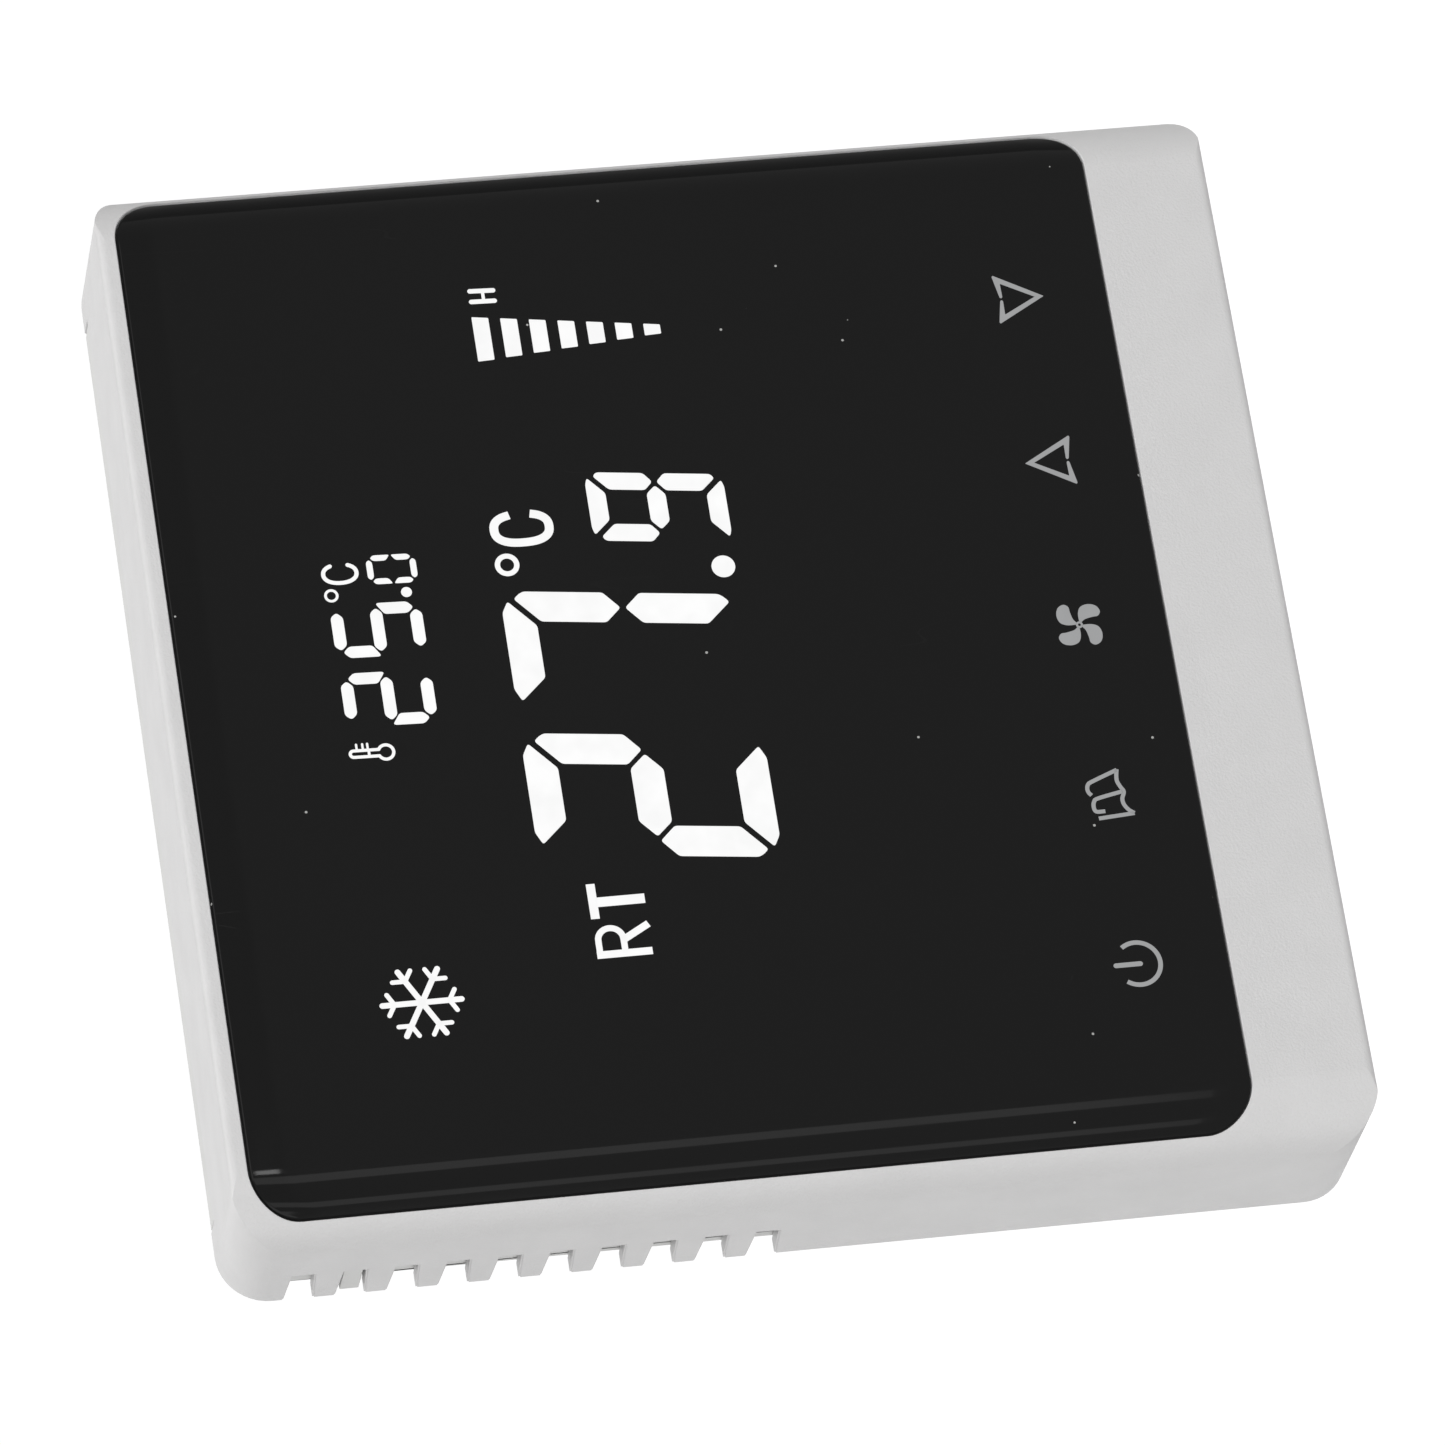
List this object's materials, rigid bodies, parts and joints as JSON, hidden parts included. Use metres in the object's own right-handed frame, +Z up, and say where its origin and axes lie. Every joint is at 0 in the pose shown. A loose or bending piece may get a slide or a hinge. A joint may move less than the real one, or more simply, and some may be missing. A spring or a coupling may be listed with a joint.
{
  "type": "wall thermostat",
  "caption": "Square wall-mounted room thermostat with a black touch display, side vents, a rear power box and rising-clamp terminals.",
  "frame": {"origin": "centre of the rear base's wall face, midway between the two wall screw slots", "axes": "+X to the right as the user faces it, +Y into the wall, +Z up"},
  "size_m": [0.086, 0.0361, 0.086],
  "materials": {
    "white_plastic": "fine satin moulding",
    "base_plastic": "satin moulding",
    "black_lens": "polished",
    "tape": "matt",
    "display_glass": "polished, dark",
    "white_frame": "satin",
    "lamp": "glossy",
    "contact_rubber": "matt",
    "green_board": "solder mask",
    "black_case": "moulded",
    "relay_case": "moulded",
    "steel_screw": "zinc plated",
    "spring_steel": "bright",
    "clamp_steel": "nickel plated",
    "contact_brass": "bright",
    "sensor_epoxy": "dipped",
    "core_steel": "varnished laminations",
    "yellow_case": "moulded",
    "blue_disc": "dipped",
    "terminal_case": "moulded"
  },
  "bodies": {
    "wall_unit": {"rear_base": "base_plastic", "power_cover": "base_plastic", "power_box_screws": "steel_screw", "power_board": "green_board", "relay_fan_high": "relay_case", "relay_fan_medium": "relay_case", "relay_fan_low": "relay_case", "relay_valve": "relay_case", "transformer": "core_steel", "smoothing_capacitor": "black_case", "film_capacitor": "yellow_case", "varistor": "blue_disc", "fuse": "black_case", "board_socket": "black_case", "terminal_block": "terminal_case", "terminal_contacts": "contact_brass"},
    "front_unit": {"front_housing": "white_plastic", "touch_lens": "black_lens", "lens_tape": "tape", "display_glass": "display_glass", "display_frame": "white_frame", "light_guide": "white_frame", "diffuser_film": "white_frame", "reflector_film": "white_frame", "backlight_lamps": "lamp", "contact_strip": "contact_rubber", "control_board": "green_board", "board_screws": "steel_screw", "microcontroller": "black_case", "display_driver": "black_case", "clock_crystal": "spring_steel", "buzzer": "black_case", "cell_holder": "black_case", "backup_cell": "spring_steel", "room_sensor": "sensor_epoxy", "key_lamps": "lamp", "plug_insulator": "black_case", "plug_pins": "spring_steel", "touch_spring_power": "spring_steel", "touch_spring_menu": "spring_steel", "touch_spring_fan": "spring_steel", "touch_spring_up": "spring_steel", "touch_spring_down": "spring_steel"},
    "terminal_screw_1": {"terminal_screw_1": "steel_screw"},
    "terminal_clamp_1": {"terminal_clamp_1": "clamp_steel"},
    "terminal_screw_2": {"terminal_screw_2": "steel_screw"},
    "terminal_clamp_2": {"terminal_clamp_2": "clamp_steel"},
    "terminal_screw_3": {"terminal_screw_3": "steel_screw"},
    "terminal_clamp_3": {"terminal_clamp_3": "clamp_steel"},
    "terminal_screw_4": {"terminal_screw_4": "steel_screw"},
    "terminal_clamp_4": {"terminal_clamp_4": "clamp_steel"},
    "terminal_screw_5": {"terminal_screw_5": "steel_screw"},
    "terminal_clamp_5": {"terminal_clamp_5": "clamp_steel"},
    "terminal_screw_6": {"terminal_screw_6": "steel_screw"},
    "terminal_clamp_6": {"terminal_clamp_6": "clamp_steel"},
    "terminal_screw_7": {"terminal_screw_7": "steel_screw"},
    "terminal_clamp_7": {"terminal_clamp_7": "clamp_steel"},
    "terminal_screw_8": {"terminal_screw_8": "steel_screw"},
    "terminal_clamp_8": {"terminal_clamp_8": "clamp_steel"}
  },
  "joints": [
    {"name": "front_release", "type": "slide", "parent": "wall_unit", "child": "front_unit", "axis": [0, -1, 0], "range_m": [0, 0.025]},
    {"name": "terminal_screw_1_turn", "type": "hinge", "parent": "wall_unit", "child": "terminal_screw_1", "pos_m": [-0.01778, 0.0171, -0.0213], "axis": [0, -1, 0], "range_deg": [0, 1800]},
    {"name": "terminal_clamp_1_lift", "type": "slide", "parent": "wall_unit", "child": "terminal_clamp_1", "axis": [0, 1, 0], "range_m": [0, 0.0025]},
    {"name": "terminal_screw_2_turn", "type": "hinge", "parent": "wall_unit", "child": "terminal_screw_2", "pos_m": [-0.0127, 0.0171, -0.0213], "axis": [0, -1, 0], "range_deg": [0, 1800]},
    {"name": "terminal_clamp_2_lift", "type": "slide", "parent": "wall_unit", "child": "terminal_clamp_2", "axis": [0, 1, 0], "range_m": [0, 0.0025]},
    {"name": "terminal_screw_3_turn", "type": "hinge", "parent": "wall_unit", "child": "terminal_screw_3", "pos_m": [-0.00762, 0.0171, -0.0213], "axis": [0, -1, 0], "range_deg": [0, 1800]},
    {"name": "terminal_clamp_3_lift", "type": "slide", "parent": "wall_unit", "child": "terminal_clamp_3", "axis": [0, 1, 0], "range_m": [0, 0.0025]},
    {"name": "terminal_screw_4_turn", "type": "hinge", "parent": "wall_unit", "child": "terminal_screw_4", "pos_m": [-0.00254, 0.0171, -0.0213], "axis": [0, -1, 0], "range_deg": [0, 1800]},
    {"name": "terminal_clamp_4_lift", "type": "slide", "parent": "wall_unit", "child": "terminal_clamp_4", "axis": [0, 1, 0], "range_m": [0, 0.0025]},
    {"name": "terminal_screw_5_turn", "type": "hinge", "parent": "wall_unit", "child": "terminal_screw_5", "pos_m": [0.00254, 0.0171, -0.0213], "axis": [0, -1, 0], "range_deg": [0, 1800]},
    {"name": "terminal_clamp_5_lift", "type": "slide", "parent": "wall_unit", "child": "terminal_clamp_5", "axis": [0, 1, 0], "range_m": [0, 0.0025]},
    {"name": "terminal_screw_6_turn", "type": "hinge", "parent": "wall_unit", "child": "terminal_screw_6", "pos_m": [0.00762, 0.0171, -0.0213], "axis": [0, -1, 0], "range_deg": [0, 1800]},
    {"name": "terminal_clamp_6_lift", "type": "slide", "parent": "wall_unit", "child": "terminal_clamp_6", "axis": [0, 1, 0], "range_m": [0, 0.0025]},
    {"name": "terminal_screw_7_turn", "type": "hinge", "parent": "wall_unit", "child": "terminal_screw_7", "pos_m": [0.0127, 0.0171, -0.0213], "axis": [0, -1, 0], "range_deg": [0, 1800]},
    {"name": "terminal_clamp_7_lift", "type": "slide", "parent": "wall_unit", "child": "terminal_clamp_7", "axis": [0, 1, 0], "range_m": [0, 0.0025]},
    {"name": "terminal_screw_8_turn", "type": "hinge", "parent": "wall_unit", "child": "terminal_screw_8", "pos_m": [0.01778, 0.0171, -0.0213], "axis": [0, -1, 0], "range_deg": [0, 1800]},
    {"name": "terminal_clamp_8_lift", "type": "slide", "parent": "wall_unit", "child": "terminal_clamp_8", "axis": [0, 1, 0], "range_m": [0, 0.0025]}
  ],
  "couplings": [
    {"joint": "terminal_screw_1_turn", "follows": "terminal_clamp_1_lift", "rad_per_m": 12566},
    {"joint": "terminal_screw_2_turn", "follows": "terminal_clamp_2_lift", "rad_per_m": 12566},
    {"joint": "terminal_screw_3_turn", "follows": "terminal_clamp_3_lift", "rad_per_m": 12566},
    {"joint": "terminal_screw_4_turn", "follows": "terminal_clamp_4_lift", "rad_per_m": 12566},
    {"joint": "terminal_screw_5_turn", "follows": "terminal_clamp_5_lift", "rad_per_m": 12566},
    {"joint": "terminal_screw_6_turn", "follows": "terminal_clamp_6_lift", "rad_per_m": 12566},
    {"joint": "terminal_screw_7_turn", "follows": "terminal_clamp_7_lift", "rad_per_m": 12566},
    {"joint": "terminal_screw_8_turn", "follows": "terminal_clamp_8_lift", "rad_per_m": 12566}
  ]
}
